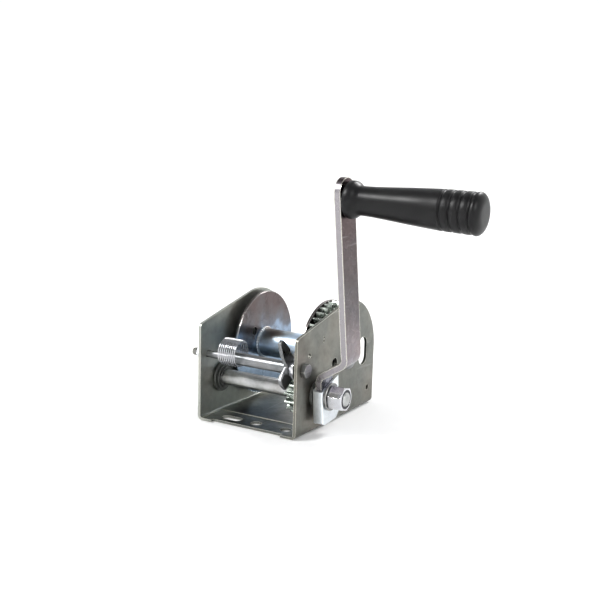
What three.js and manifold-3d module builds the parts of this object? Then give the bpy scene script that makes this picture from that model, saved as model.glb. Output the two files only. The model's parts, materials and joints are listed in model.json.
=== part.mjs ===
// A geared hand winch for a boat trailer: a folded steel frame carries a rope drum and a crank shaft.
// Millimetres. +X points to the crank side, +Y to the back, +Z up.
// The origin is the centre of the underside of the base.
import * as THREE from "three";
import { mergeVertices } from "three/addons/utils/BufferGeometryUtils.js";
import Module from "manifold-3d";

const wasm = await Module();
wasm.setup();

// ---------------------------------------------------------------- driving dimensions

const gap = 0.3; // running or seating clearance between neighbouring pieces

// Frame: one folded sheet, a base with two cheeks
const frameWidth = 100;
const frameLength = 141;
const sheet = 2.5;
const foldRadius = 4;
const cheekFrontHeight = 86;
const cheekCornerRadius = 4;
const archRadius = 50.5;
const archHeight = 54.6; // height of the arch's centre, which is the drum's centre too

const baseRecess = { fromX: -36, toX: 35, depth: 3.7 }; // the base's front edge is set back here
const floorStep = { fromFront: 30.5, depth: 0.4 }; // the floor's front strip is a little lower

// Bolt holes in the base
const boltHoleRadius = 5;
const boltSlotLength = 20;
const boltRowInset = 15; // from the base's front or back edge
const boltSlotX = -23.6;
const boltHoleX = [1.6, 31.6];

// Openings in the crank-side cheek: a sight slot, and round holes as [y, z, radius]
const sightSlot = { y: 47.7, z: 53.8, width: 15, height: 26.3 };
const cheekHoles = [
  [59.3, 16.6, 2.5],
  [-50, 68.8, 2.2],
  [-6, 53, 5],
  [-26.2, 80.1, 1],
  [-26.3, 77, 1.2],
];

// Gears
const gearModule = 2.25;
const drumTeeth = 40;
const pinionTeeth = 15;
const pressureAngle = THREE.MathUtils.degToRad(20);
const toothThinning = 0.25; // taken off each tooth's thickness, for backlash
const drumGearWidth = 8;
const pinionWidth = 17;
const pinionSetBack = 0.9; // the pinion starts this far inside the drum gear's flange side

// Drum
const drumTubeRadius = 13;
const drumTubeWall = 3;
const flangeLip = 0.95; // the flanges stand out this far beyond the drum gear's teeth
const flangeSheet = 2.5;
const drumBushWall = 2;
const drumBushLength = 14;
const axleRadius = 6;
const axleHeadRadius = 12;
const axleHeadHeight = 4.6;
const axleNutFlats = 19;
const axleNutHeight = 10;
const axleStub = 4; // bolt end that stands out of a nut
const axleWasher = { radius: 12, thickness: 2 };
const drumSideGap = 6; // cheek to the drum's plain flange
const gearSideGap = 10.9; // drum gear to the cheek
const axleSpacerWall = 2.5;
const ropeHole = { fromAxis: 22.5, radius: 4, turn: THREE.MathUtils.degToRad(143) };

// Crank shaft
const shaftRadius = 7;
const shaftDepth = 21.6; // the shaft's axis is this far below the drum's axis
const shaftOverhang = 2.5; // beyond the plain cheek
const bushWall = 2;
const bushFlange = { radius: 12, thickness: 2.7 };
const innerBushFlange = { radius: 13.5, thickness: 2.2 };
const thrustWasher = { radius: 11, thickness: 1.5 };
const retainingRing = { radius: 9, thickness: 1.2, mouth: 4 };

// Crank
const crankLean = THREE.MathUtils.degToRad(5.5); // the crank's angle at rest
const crankRadius = 170.5;
const crankBar = { width: 25, rootWidth: 20, thickness: 5.5, footCorner: 2 };
const crankOffset = 26; // the upper leg's foot stands out this far beyond the lower leg
const crankTopReach = 17.2; // from the grip's axis to the crank's end
const upperLegLean = THREE.MathUtils.degToRad(1.9); // inwards
const crankBendStart = 18.3; // above the shaft's axis
const crankBendEnd = 34.8;
const crankBendRadius = 8;
const crankFootLength = 20; // below the shaft's axis
const hub = { wall: 1.9, bend: 1.6, frontTop: 7, backTop: 14.5, below: 23, back: 16, chamfer: 5 };
const hubCorner = 3; // cut off the hub's lower front corner
const hubStandOff = 0.7; // bush flange to hub
const shaftFlats = 10;
const crankWasher = { radius: 12, thickness: 2.4 };
const crankThreadRadius = 6;
const crankNutFlats = 19;
const crankNutHeight = 13;
const crankNutTurn = THREE.MathUtils.degToRad(-20); // where tightening leaves the nut's flats
const nutInsert = { radius: 8, depth: 1.8 };
const crankStub = 1; // thread beyond the crank nut

// Grip
const gripDroop = THREE.MathUtils.degToRad(1.6);
const gripLength = 113.8;
const gripBoreDepth = 98;
const gripRecess = { radius: 10, depth: 1.8 }; // takes the washer
const gripStandOff = 1.2; // crank to grip, as the grip is not quite square to the crank
const spindleRadius = 5;
const spindleHead = { radius: 8, height: 2.5 };
const spindleEyeGap = 0.5;
const gripWasher = { radius: 9, thickness: 1.2 };

// Tie bolt, pawl and spring
const tieBoltInset = 11.5; // behind the cheeks' front edges
const tieBoltHeight = 58;
const tieBoltRadius = 3.5;
const tieHeadFlats = 11;
const tieHeadHeight = 4;
const tieNutHeight = 6;
const tieStub = 6.5;
const tieSleeveRadius = 5.5;
const tieSleeveFromCheek = 24; // the bolt is bare between here and the plain cheek
const tieWasher = { radius: 10.5, thickness: 2 };
const tieLockWasher = { radius: 7, thickness: 1.8 };
const pawlThickness = 3.2;
const pawlFromCheek = 8; // pawl's outer face to the cheek's inner face
const pawlBushRadius = 5.1;
const pawlCollar = { radius: 8.5, thickness: 2.6 };
const pawlHubRadius = 8.2;
const pawlHook = 6.06; // a claw reaches this far past the nearest point of the pinion's tip circle
const pawlLeverLength = 32.6;
const pawlLean = THREE.MathUtils.degToRad(-5); // the thumb lever's angle at rest
const springRadius = 12;
const springWire = 1.2;
const springLength = 18.5;
const springFromCheek = 17.5;

// ---------------------------------------------------------------- derived places

const front = -frameLength / 2;
const cheekInner = frameWidth / 2 - sheet;
const cheekOuter = frameWidth / 2;
const drumY = frameLength / 2 - archRadius;
const drumZ = archHeight;

const drumPitchRadius = (gearModule * drumTeeth) / 2;
const pinionPitchRadius = (gearModule * pinionTeeth) / 2;
const centreDistance = drumPitchRadius + pinionPitchRadius;
const flangeRadius = drumPitchRadius + gearModule + flangeLip;
const shaftZ = drumZ - shaftDepth;
const shaftY = drumY - Math.sqrt(centreDistance ** 2 - shaftDepth ** 2);
const tieY = front + tieBoltInset;
const tieZ = tieBoltHeight;
const tieToShaft = Math.hypot(tieY - shaftY, tieZ - shaftZ);
const pawlReach = tieToShaft - pinionPitchRadius - gearModule + pawlHook;

const gearRight = cheekInner - gearSideGap;
const gearLeft = gearRight - drumGearWidth;
const gearFlangeLeft = gearLeft - gap - flangeSheet;
const plainFlangeLeft = -cheekInner + drumSideGap;
const plainFlangeRight = plainFlangeLeft + flangeSheet;
const pinionLeft = gearLeft + pinionSetBack;
const axleBore = axleRadius + gap + drumBushWall + gap;

const hubLeft = cheekOuter + gap + bushFlange.thickness + hubStandOff;
const hubRight = hubLeft + 2 * (hub.wall + gap) + crankBar.thickness;
const barLeft = hubLeft + hub.wall + gap;
const upperBarFoot = barLeft + crankOffset + crankBar.thickness / 2; // middle of the bar
const upperBarAtGrip = upperBarFoot - (crankRadius - crankBendEnd) * Math.tan(upperLegLean);
const crankWasherLeft = hubRight + gap;
const crankNutLeft = crankWasherLeft + crankWasher.thickness + gap;
const crankNutRight = crankNutLeft + crankNutHeight;
const shaftEnd = crankNutRight + crankStub;

const pawlRight = cheekInner - pawlFromCheek;
const pawlLeft = pawlRight - pawlThickness;

// ---------------------------------------------------------------- materials

const finishes = {
  zinc: { color: 0xb8bcb8, roughness: 0.38, metalness: 0.9 },
  brightZinc: { color: 0xd4d6d8, roughness: 0.25, metalness: 1 },
  blueZinc: { color: 0xa9b7c6, roughness: 0.3, metalness: 0.95 },
  greased: { color: 0x4d5a52, roughness: 0.35, metalness: 0.8 },
  darkBush: { color: 0x2e3132, roughness: 0.55, metalness: 0.3 },
  grip: { color: 0x17181a, roughness: 0.45, metalness: 0 },
  nylon: { color: 0x26282c, roughness: 0.5, metalness: 0 },
};

function finish(name) {
  return new THREE.MeshStandardMaterial(finishes[name]);
}

// ---------------------------------------------------------------- making solids

// A closed geometry as a solid that can be joined and cut. Triangles that shrank to a line are dropped.
function solid(geometry) {
  const bare = new THREE.BufferGeometry();
  bare.setAttribute("position", geometry.getAttribute("position").clone());
  if (geometry.index) bare.setIndex(geometry.index.clone());
  const merged = mergeVertices(bare, 1e-4);
  const corners = merged.index.array;
  const kept = [];
  for (let i = 0; i < corners.length; i += 3) {
    const [a, b, c] = [corners[i], corners[i + 1], corners[i + 2]];
    if (a !== b && b !== c && a !== c) kept.push(a, b, c);
  }
  return new wasm.Manifold(
    new wasm.Mesh({
      numProp: 3,
      vertProperties: merged.attributes.position.array,
      triVerts: new Uint32Array(kept),
    }),
  );
}

// A solid as a geometry with flat faces.
function geometryOf(shape) {
  const mesh = shape.getMesh();
  const points = new Float32Array(mesh.numVert * 3);
  for (let i = 0; i < mesh.numVert; i++) {
    points.set(mesh.vertProperties.subarray(i * mesh.numProp, i * mesh.numProp + 3), i * 3);
  }
  const geometry = new THREE.BufferGeometry();
  geometry.setAttribute("position", new THREE.BufferAttribute(points, 3));
  geometry.setIndex(new THREE.BufferAttribute(mesh.triVerts, 1));
  const flat = geometry.toNonIndexed();
  flat.computeVertexNormals();
  return flat;
}

const alongX = new THREE.Matrix4().makeBasis(
  new THREE.Vector3(0, 1, 0),
  new THREE.Vector3(0, 0, 1),
  new THREE.Vector3(1, 0, 0),
);

// An outline drawn in the Y-Z plane, pushed along X from one place to another.
function pushedX(outline, from, to, curveSegments = 12) {
  const options = { depth: to - from, bevelEnabled: false, curveSegments };
  const geometry = new THREE.ExtrudeGeometry(outline, options);
  return solid(geometry.applyMatrix4(alongX).translate(from, 0, 0));
}

// An outline drawn in the X-Z plane, pushed along Y.
function pushedY(outline, from, to, curveSegments = 12) {
  const options = { depth: to - from, bevelEnabled: false, curveSegments };
  const geometry = new THREE.ExtrudeGeometry(outline, options);
  return solid(geometry.rotateX(Math.PI / 2).translate(0, to, 0));
}

// An outline drawn in the X-Y plane, pushed up along Z.
function pushedZ(outline, from, to, curveSegments = 12) {
  const options = { depth: to - from, bevelEnabled: false, curveSegments };
  const geometry = new THREE.ExtrudeGeometry(outline, options);
  return solid(geometry.translate(0, 0, from));
}

// A turned piece about the X axis. The profile is [x, radius] pairs with x rising along the outside.
function turned(profile, segments = 32) {
  const points = profile.map(([x, radius]) => new THREE.Vector2(radius, x));
  return solid(new THREE.LatheGeometry(points, segments).rotateZ(-Math.PI / 2));
}

// A washer, bush or tube about the X axis, with both outer edges broken.
function ring(from, to, bore, radius, edge = 0.3, segments = 32) {
  return turned(
    [
      [from, bore],
      [from, radius - edge],
      [from + edge, radius],
      [to - edge, radius],
      [to, radius - edge],
      [to, bore],
      [from, bore],
    ],
    segments,
  );
}

// A plain round bar about the X axis, used as a pin or as a drill.
function bar(from, to, radius, segments = 28) {
  return turned(
    [
      [from, 0],
      [from, radius],
      [to, radius],
      [to, 0],
    ],
    segments,
  );
}

// A hexagon prism about the X axis with its corners turned down at the chosen ends.
function hexagon(from, to, flats, chamferLeft = true, chamferRight = true) {
  const cornerRadius = flats / Math.sqrt(3);
  const outline = new THREE.Shape();
  for (let i = 0; i < 6; i++) {
    const angle = (i * Math.PI) / 3;
    const point = [cornerRadius * Math.cos(angle), cornerRadius * Math.sin(angle)];
    if (i === 0) outline.moveTo(...point);
    else outline.lineTo(...point);
  }
  const faceRadius = flats / 2 - 0.2;
  const drop = (cornerRadius - faceRadius) * Math.tan(Math.PI / 6);
  const reach = cornerRadius + 0.01;
  const profile = [
    [from, 0],
    [from, chamferLeft ? faceRadius : reach],
    [from + (chamferLeft ? drop : 0.01), reach],
    [to - (chamferRight ? drop : 0.01), reach],
    [to, chamferRight ? faceRadius : reach],
    [to, 0],
  ];
  return pushedX(outline, from, to).intersect(turned(profile, 36));
}

function circle(x, y, radius) {
  const outline = new THREE.Shape();
  outline.absarc(x, y, radius, 0, 2 * Math.PI, false);
  return outline;
}

function rectangle(left, low, right, high) {
  const outline = new THREE.Shape();
  outline.moveTo(left, low);
  outline.lineTo(right, low);
  outline.lineTo(right, high);
  outline.lineTo(left, high);
  outline.closePath();
  return outline;
}

// A slot with round ends, long in the second direction when height is larger than width.
function obround(x, y, width, height) {
  const outline = new THREE.Shape();
  if (height > width) {
    const half = (height - width) / 2;
    outline.absarc(x, y + half, width / 2, 0, Math.PI, false);
    outline.absarc(x, y - half, width / 2, Math.PI, 2 * Math.PI, false);
  } else {
    const half = (width - height) / 2;
    outline.absarc(x - half, y, height / 2, Math.PI / 2, 1.5 * Math.PI, false);
    outline.absarc(x + half, y, height / 2, -Math.PI / 2, Math.PI / 2, false);
  }
  outline.closePath();
  return outline;
}

function mesh(name, shape, finishName) {
  const made = new THREE.Mesh(geometryOf(shape), finish(finishName));
  made.name = name;
  return made;
}

// ---------------------------------------------------------------- frame

// The fold seen from the front: base and two cheeks, with round outer and inner corners.
function channelSection() {
  const half = frameWidth / 2;
  const top = archHeight + archRadius + 1;
  const inner = foldRadius - sheet;
  const outline = new THREE.Shape();
  outline.moveTo(-half, top);
  outline.lineTo(-half, foldRadius);
  outline.absarc(-half + foldRadius, foldRadius, foldRadius, Math.PI, 1.5 * Math.PI, false);
  outline.lineTo(half - foldRadius, 0);
  outline.absarc(half - foldRadius, foldRadius, foldRadius, -Math.PI / 2, 0, false);
  outline.lineTo(half, top);
  outline.lineTo(half - sheet, top);
  outline.lineTo(half - sheet, foldRadius);
  outline.absarc(half - foldRadius, foldRadius, inner, 0, -Math.PI / 2, true);
  outline.lineTo(-half + foldRadius, sheet);
  outline.absarc(-half + foldRadius, foldRadius, inner, 1.5 * Math.PI, Math.PI, true);
  outline.lineTo(-half + sheet, top);
  outline.closePath();
  return outline;
}

// A cheek seen from the side: upright front, slope, arch round the drum, upright back.
function cheekOutline() {
  const back = frameLength / 2;
  const toCentre = Math.hypot(drumY - front, archHeight - cheekFrontHeight);
  const slope =
    Math.atan2(archHeight - cheekFrontHeight, drumY - front) + Math.asin(archRadius / toCentre);
  const cornerTurn = Math.PI / 2 - slope;
  const cut = cheekCornerRadius * Math.tan(cornerTurn / 2);
  const outline = new THREE.Shape();
  outline.moveTo(front, 0);
  outline.lineTo(front, cheekFrontHeight - cut);
  outline.absarc(
    front + cheekCornerRadius,
    cheekFrontHeight - cut,
    cheekCornerRadius,
    Math.PI,
    Math.PI / 2 + slope,
    true,
  );
  outline.absarc(drumY, archHeight, archRadius, slope + Math.PI / 2, 0, true);
  outline.lineTo(back, cheekCornerRadius);
  outline.absarc(
    back - cheekCornerRadius,
    cheekCornerRadius,
    cheekCornerRadius,
    0,
    -Math.PI / 2,
    true,
  );
  outline.closePath();
  return outline;
}

function frameChannel() {
  const half = frameWidth / 2 + 1;
  const { fromX, toX, depth } = baseRecess;
  let shape = pushedY(channelSection(), front, frameLength / 2, 6);
  shape = shape.intersect(pushedX(cheekOutline(), -half, half, 40));
  const through = (y, z, radius, from = -half, to = half) => {
    shape = shape.subtract(bar(from, to, radius).translate([0, y, z]));
  };
  through(shaftY, shaftZ, shaftRadius + gap + bushWall + gap);
  through(drumY, drumZ, axleRadius + gap);
  through(tieY, tieZ, tieBoltRadius + gap);
  for (const [y, z, radius] of cheekHoles) through(y, z, radius, cheekInner - 1, half);
  const { y, z, width, height } = sightSlot;
  shape = shape.subtract(pushedX(obround(y, z, width, height), cheekInner - 1, half));
  const edge = rectangle(fromX, front - 1, toX, front + depth);
  shape = shape.subtract(pushedZ(edge, -1, sheet + 1));
  const floorHalf = frameWidth / 2 - foldRadius;
  const strip = rectangle(-floorHalf, front - 1, floorHalf, front + floorStep.fromFront);
  shape = shape.subtract(pushedZ(strip, sheet - floorStep.depth, sheet + 1));
  for (const rowY of [front + boltRowInset, frameLength / 2 - boltRowInset]) {
    const slot = obround(boltSlotX, rowY, boltSlotLength, 2 * boltHoleRadius);
    shape = shape.subtract(pushedZ(slot, -1, sheet + 1));
    for (const x of boltHoleX) {
      shape = shape.subtract(pushedZ(circle(x, rowY, boltHoleRadius), -1, sheet + 1));
    }
  }
  return mesh("frame_channel", shape, "zinc");
}

// ---------------------------------------------------------------- gear teeth

// Half the angle of a tooth at a radius, on an involute flank.
function halfToothAngle(teeth, radius) {
  const pitch = (gearModule * teeth) / 2;
  const base = pitch * Math.cos(pressureAngle);
  const involute = (angle) => Math.tan(angle) - angle;
  const atPitch = Math.PI / (2 * teeth) - toothThinning / (2 * pitch);
  const flank = Math.acos(Math.min(1, base / radius));
  return atPitch + involute(pressureAngle) - involute(flank);
}

// The outline of a spur gear with one tooth centred on the start angle.
function gearOutline(teeth, startAngle, flankSteps = 3) {
  const pitch = (gearModule * teeth) / 2;
  const tip = pitch + gearModule;
  const root = pitch - 1.25 * gearModule;
  const lowest = Math.max(pitch * Math.cos(pressureAngle), root);
  const radii = [];
  for (let i = 0; i <= flankSteps; i++) radii.push(lowest + ((tip - lowest) * i) / flankSteps);
  const points = [];
  const put = (radius, angle) => {
    points.push(new THREE.Vector2(radius * Math.cos(angle), radius * Math.sin(angle)));
  };
  for (let i = 0; i < teeth; i++) {
    const centre = startAngle + (2 * Math.PI * i) / teeth;
    put(root, centre - halfToothAngle(teeth, lowest));
    for (const radius of radii) put(radius, centre - halfToothAngle(teeth, radius));
    for (const radius of [...radii].reverse()) put(radius, centre + halfToothAngle(teeth, radius));
    put(root, centre + halfToothAngle(teeth, lowest));
  }
  return new THREE.Shape(points);
}

// ---------------------------------------------------------------- drum

const towardsShaft = Math.atan2(shaftZ - drumZ, shaftY - drumY);

function drumPieces() {
  const tubeLeft = plainFlangeRight + gap;
  const tubeRight = gearFlangeLeft - gap;
  const boreInTube = drumTubeRadius - drumTubeWall;
  const flange = (from) => ring(from, from + flangeSheet, axleBore, flangeRadius, 0.5, 72);
  const rope = bar(-cheekOuter, 0, ropeHole.radius, 20).translate([
    0,
    ropeHole.fromAxis * Math.cos(ropeHole.turn),
    ropeHole.fromAxis * Math.sin(ropeHole.turn),
  ]);
  const teeth = pushedX(gearOutline(drumTeeth, towardsShaft), gearLeft, gearRight);
  const gear = teeth.subtract(bar(gearLeft - 1, gearRight + 1, axleBore));
  const bush = (from) => ring(from, from + drumBushLength, axleRadius + gap, axleBore - gap);
  return [
    mesh("drum_tube", ring(tubeLeft, tubeRight, boreInTube, drumTubeRadius, 0.3, 48), "blueZinc"),
    mesh("drum_flange_left", flange(plainFlangeLeft).subtract(rope), "blueZinc"),
    mesh("drum_flange_right", flange(gearFlangeLeft), "blueZinc"),
    mesh("drum_gear", gear, "greased"),
    mesh("drum_bush_left", bush(plainFlangeLeft + gap), "darkBush"),
    mesh("drum_bush_right", bush(gearRight - drumBushLength - gap), "darkBush"),
  ];
}

// The bolt that the drum turns on, with its nut, washer and spacers.
function axlePieces() {
  const nutRight = -cheekOuter - gap - axleWasher.thickness - gap;
  const nutLeft = nutRight - axleNutHeight;
  const headLeft = cheekOuter + gap;
  const domeSteps = 5;
  const profile = [
    [nutLeft - axleStub, 0],
    [nutLeft - axleStub, axleRadius - 1],
    [nutLeft - axleStub + 1, axleRadius],
    [headLeft, axleRadius],
    [headLeft, axleHeadRadius],
    [headLeft + 1, axleHeadRadius],
  ];
  for (let i = 1; i <= domeSteps; i++) {
    const turn = (i * Math.PI) / 2 / domeSteps;
    const height = headLeft + 1 + (axleHeadHeight - 1) * Math.sin(turn);
    profile.push([height, i === domeSteps ? 0 : axleHeadRadius * Math.cos(turn)]);
  }
  const nut = hexagon(nutLeft, nutRight, axleNutFlats).subtract(
    bar(nutLeft - 1, nutRight + 1, axleRadius + gap),
  );
  const bore = axleRadius + gap;
  const spacerRadius = bore + axleSpacerWall;
  const washerLeft = -cheekOuter - gap - axleWasher.thickness;
  return [
    mesh("axle_bolt", turned(profile), "zinc"),
    mesh("axle_nut", nut, "brightZinc"),
    mesh("axle_washer", ring(washerLeft, -cheekOuter - gap, bore, axleWasher.radius), "zinc"),
    mesh(
      "axle_spacer_left",
      ring(-cheekInner + gap, plainFlangeLeft - gap, bore, spacerRadius),
      "zinc",
    ),
    mesh("axle_spacer_right", ring(gearRight + gap, cheekInner - gap, bore, spacerRadius), "zinc"),
  ];
}

// ---------------------------------------------------------------- crank shaft and crank

function shaftBushes() {
  const bore = shaftRadius + gap;
  const barrel = bore + bushWall;
  const plainInner = -cheekInner + gap;
  const left = ring(-cheekOuter, plainInner + 0.5, bore, barrel).add(
    ring(plainInner, plainInner + innerBushFlange.thickness, bore, innerBushFlange.radius),
  );
  const crankOuter = cheekOuter + gap;
  const right = ring(cheekInner, crankOuter + 0.5, bore, barrel).add(
    ring(crankOuter, crankOuter + bushFlange.thickness, bore, bushFlange.radius),
  );
  return [mesh("shaft_bush_left", left, "darkBush"), mesh("shaft_bush_right", right, "darkBush")];
}

// Two flats on a round bar: the same shape cuts the hub's and the crank bar's holes.
function flattedBar(from, to, radius, flats) {
  const reach = radius + 1;
  const outline = rectangle(-flats / 2, -reach, flats / 2, reach);
  return bar(from, to, radius, 40).intersect(pushedX(outline, from, to));
}

function driveShaft() {
  const left = -cheekOuter - shaftOverhang;
  const flatLeft = hubLeft - gap;
  const flatRight = hubRight + gap;
  const round = turned([
    [left, 0],
    [left, shaftRadius - 1],
    [left + 1, shaftRadius],
    [flatLeft, shaftRadius],
    [flatLeft, 0],
  ]);
  const thread = turned([
    [flatRight - 0.5, 0],
    [flatRight - 0.5, shaftFlats / 2],
    [flatRight, shaftFlats / 2],
    [flatRight + 0.5, crankThreadRadius],
    [shaftEnd - 1, crankThreadRadius],
    [shaftEnd, crankThreadRadius - 1],
    [shaftEnd, 0],
  ]);
  const middle = flattedBar(flatLeft - 0.5, flatRight, shaftRadius, shaftFlats);
  return mesh("drive_shaft", round.add(middle).add(thread), "brightZinc");
}

function shaftFittings() {
  const bore = shaftRadius + gap;
  const towardsDrum = towardsShaft + Math.PI;
  const phase = towardsDrum + Math.PI / pinionTeeth;
  const right = pinionLeft + pinionWidth;
  const pinion = pushedX(gearOutline(pinionTeeth, phase), pinionLeft, right).subtract(
    bar(pinionLeft - 1, right + 1, bore),
  );
  const washerLeft = -cheekInner + 2 * gap + innerBushFlange.thickness;
  const washerRight = washerLeft + thrustWasher.thickness;
  const clipLeft = washerRight + gap;
  const clip = ring(clipLeft, clipLeft + retainingRing.thickness, bore, retainingRing.radius);
  const halfMouth = retainingRing.mouth / 2;
  const mouth = rectangle(-retainingRing.radius - 1, -halfMouth, 0, halfMouth);
  const clipRight = clipLeft + retainingRing.thickness;
  return [
    mesh("pinion", pinion, "greased"),
    mesh("thrust_washer", ring(washerLeft, washerRight, bore, thrustWasher.radius), "darkBush"),
    mesh(
      "retaining_ring",
      clip.subtract(pushedX(mouth, clipLeft - 1, clipRight + 1)),
      "darkBush",
    ),
  ];
}

// A channel folded round the crank bar's foot, open at the back.
function crankHub() {
  const half = crankBar.rootWidth / 2 + gap;
  const outer = half + hub.wall;
  const section = new THREE.Shape();
  const round = hub.bend;
  section.moveTo(hubLeft + round, -outer);
  section.lineTo(hubRight - round, -outer);
  section.absarc(hubRight - round, -outer + round, round, -Math.PI / 2, 0, false);
  section.lineTo(hubRight, hub.back);
  section.lineTo(hubRight - hub.wall, hub.back);
  section.lineTo(hubRight - hub.wall, -half);
  section.lineTo(hubLeft + hub.wall, -half);
  section.lineTo(hubLeft + hub.wall, hub.back);
  section.lineTo(hubLeft, hub.back);
  section.lineTo(hubLeft, -outer + round);
  section.absarc(hubLeft + round, -outer + round, round, Math.PI, 1.5 * Math.PI, false);
  section.closePath();
  const front = -outer - 1;
  const back = hub.back + 1;
  const side = new THREE.Shape();
  side.moveTo(front, -hub.below + hubCorner);
  side.lineTo(front + hubCorner + 1, -hub.below);
  side.lineTo(hub.back - hub.chamfer, -hub.below);
  side.lineTo(back, -hub.below + hub.chamfer + 1);
  side.lineTo(back, hub.backTop);
  side.lineTo(front, hub.frontTop);
  side.closePath();
  const channel = pushedZ(section, -hub.below - 1, hub.backTop + 1, 4);
  const outline = pushedX(side, hubLeft - 1, hubRight + 1);
  const hole = flattedBar(hubLeft - 1, hubRight + 1, shaftRadius + gap, shaftFlats + 2 * gap);
  return mesh("crank_hub", channel.intersect(outline).subtract(hole), "zinc");
}

// Points along a centre line whose corners are rounded.
function roundedLine(corners, radius, steps) {
  const points = [corners[0]];
  for (let i = 1; i < corners.length - 1; i++) {
    const before = corners[i - 1].clone().sub(corners[i]).normalize();
    const after = corners[i + 1].clone().sub(corners[i]).normalize();
    const half = Math.acos(THREE.MathUtils.clamp(before.dot(after), -1, 1)) / 2;
    const centre = before.clone().add(after).normalize();
    centre.multiplyScalar(radius / Math.sin(half)).add(corners[i]);
    const start = before.multiplyScalar(radius / Math.tan(half)).add(corners[i]).sub(centre);
    const end = after.multiplyScalar(radius / Math.tan(half)).add(corners[i]).sub(centre);
    const turn = Math.atan2(start.cross(end), start.dot(end));
    for (let s = 0; s <= steps; s++) {
      points.push(start.clone().rotateAround(new THREE.Vector2(), (turn * s) / steps).add(centre));
    }
  }
  points.push(corners[corners.length - 1]);
  return points;
}

// The outline of a strip of even thickness round a centre line.
function stripOutline(line, thickness) {
  const left = [];
  const right = [];
  line.forEach((point, i) => {
    const before = line[Math.max(i - 1, 0)];
    const after = line[Math.min(i + 1, line.length - 1)];
    const along = after.clone().sub(before).normalize();
    const across = new THREE.Vector2(-along.y, along.x).multiplyScalar(thickness / 2);
    left.push(point.clone().add(across));
    right.push(point.clone().sub(across));
  });
  return new THREE.Shape([...right, ...left.reverse()]);
}

// A flat bar with a double bend. Its foot is narrower than its upper leg, whose end is round.
function crankArm() {
  const top = crankRadius + crankTopReach;
  const wide = crankBar.width / 2;
  const narrow = crankBar.rootWidth / 2;
  const foot = barLeft + crankBar.thickness / 2;
  const above = top + 5;
  const corners = [
    new THREE.Vector2(foot, -crankFootLength),
    new THREE.Vector2(foot, crankBendStart),
    new THREE.Vector2(upperBarFoot, crankBendEnd),
    new THREE.Vector2(upperBarFoot - (above - crankBendEnd) * Math.tan(upperLegLean), above),
  ];
  const strip = stripOutline(roundedLine(corners, crankBendRadius, 6), crankBar.thickness);
  const widening = crankBendEnd + crankBendRadius;
  const corner = crankBar.footCorner;
  const face = new THREE.Shape();
  face.moveTo(-narrow + corner, -crankFootLength);
  face.lineTo(narrow - corner, -crankFootLength);
  face.lineTo(narrow, -crankFootLength + corner);
  face.lineTo(narrow, crankBendStart);
  face.lineTo(wide, widening);
  face.lineTo(wide, top - wide);
  face.absarc(0, top - wide, wide, 0, Math.PI, false);
  face.lineTo(-wide, widening);
  face.lineTo(-narrow, crankBendStart);
  face.lineTo(-narrow, -crankFootLength + corner);
  face.closePath();
  const left = barLeft - 1;
  const right = upperBarFoot + crankBar.thickness;
  const bent = pushedY(strip, -wide - 1, wide + 1);
  const outline = pushedX(face, left, right, 16);
  const holeRight = barLeft + crankBar.thickness + 1;
  const hole = flattedBar(left, holeRight, shaftRadius + gap, shaftFlats + 2 * gap);
  const eyeHalf = crankBar.thickness;
  const eye = bar(-eyeHalf, eyeHalf, spindleRadius + spindleEyeGap);
  const eyeHole = eye.translate([upperBarAtGrip, 0, crankRadius]);
  const arm = bent.intersect(outline).subtract(hole).subtract(eyeHole);
  return mesh("crank_arm", arm, "brightZinc");
}

function crankFasteners() {
  const bore = crankThreadRadius + gap;
  const washerRight = crankWasherLeft + crankWasher.thickness;
  const insertLeft = crankNutRight - nutInsert.depth;
  const pocket = bar(insertLeft - gap, crankNutRight + 1, nutInsert.radius + gap);
  const nut = hexagon(crankNutLeft, crankNutRight, crankNutFlats)
    .rotate([THREE.MathUtils.radToDeg(crankNutTurn), 0, 0])
    .subtract(bar(crankNutLeft - 1, crankNutRight + 1, bore))
    .subtract(pocket);
  return [
    mesh("crank_washer", ring(crankWasherLeft, washerRight, bore, crankWasher.radius), "zinc"),
    mesh("crank_nut", nut, "brightZinc"),
    mesh("crank_nut_insert", ring(insertLeft, crankNutRight, bore, nutInsert.radius), "nylon"),
  ];
}

// ---------------------------------------------------------------- grip

// The grip's outside, as [distance from its inner end, radius]: bulb, neck, taper, ribs, round end.
function gripProfile() {
  const ribs = { first: 82, count: 4, pitch: 7.8, radius: 16.1, groove: 1.2, halfWidth: 1.4 };
  const endRadius = 16.8;
  const profile = [
    [0, 13.6],
    [0.6, 14.8],
    [1.8, 15.3],
    [5.4, 15.3],
    [7, 14.6],
    [8.6, 13.3],
    [10.2, 12.2],
    [12, 11.8],
    [15.5, 11.8],
    [23.5, 12.1],
    [42.7, 13.5],
    [62, 14.9],
    [76, 15.8],
  ];
  for (let i = 0; i < ribs.count; i++) {
    const at = ribs.first + i * ribs.pitch;
    const radius = ribs.radius + i * 0.1;
    profile.push(
      [at - ribs.halfWidth, radius],
      [at, radius - ribs.groove],
      [at + ribs.halfWidth, radius],
    );
  }
  profile.push(
    [gripLength - 5.5, endRadius],
    [gripLength - 2.8, endRadius - 1.6],
    [gripLength - 1, endRadius - 4.8],
    [gripLength, endRadius - 9],
    [gripLength, 0],
  );
  return profile;
}

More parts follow.
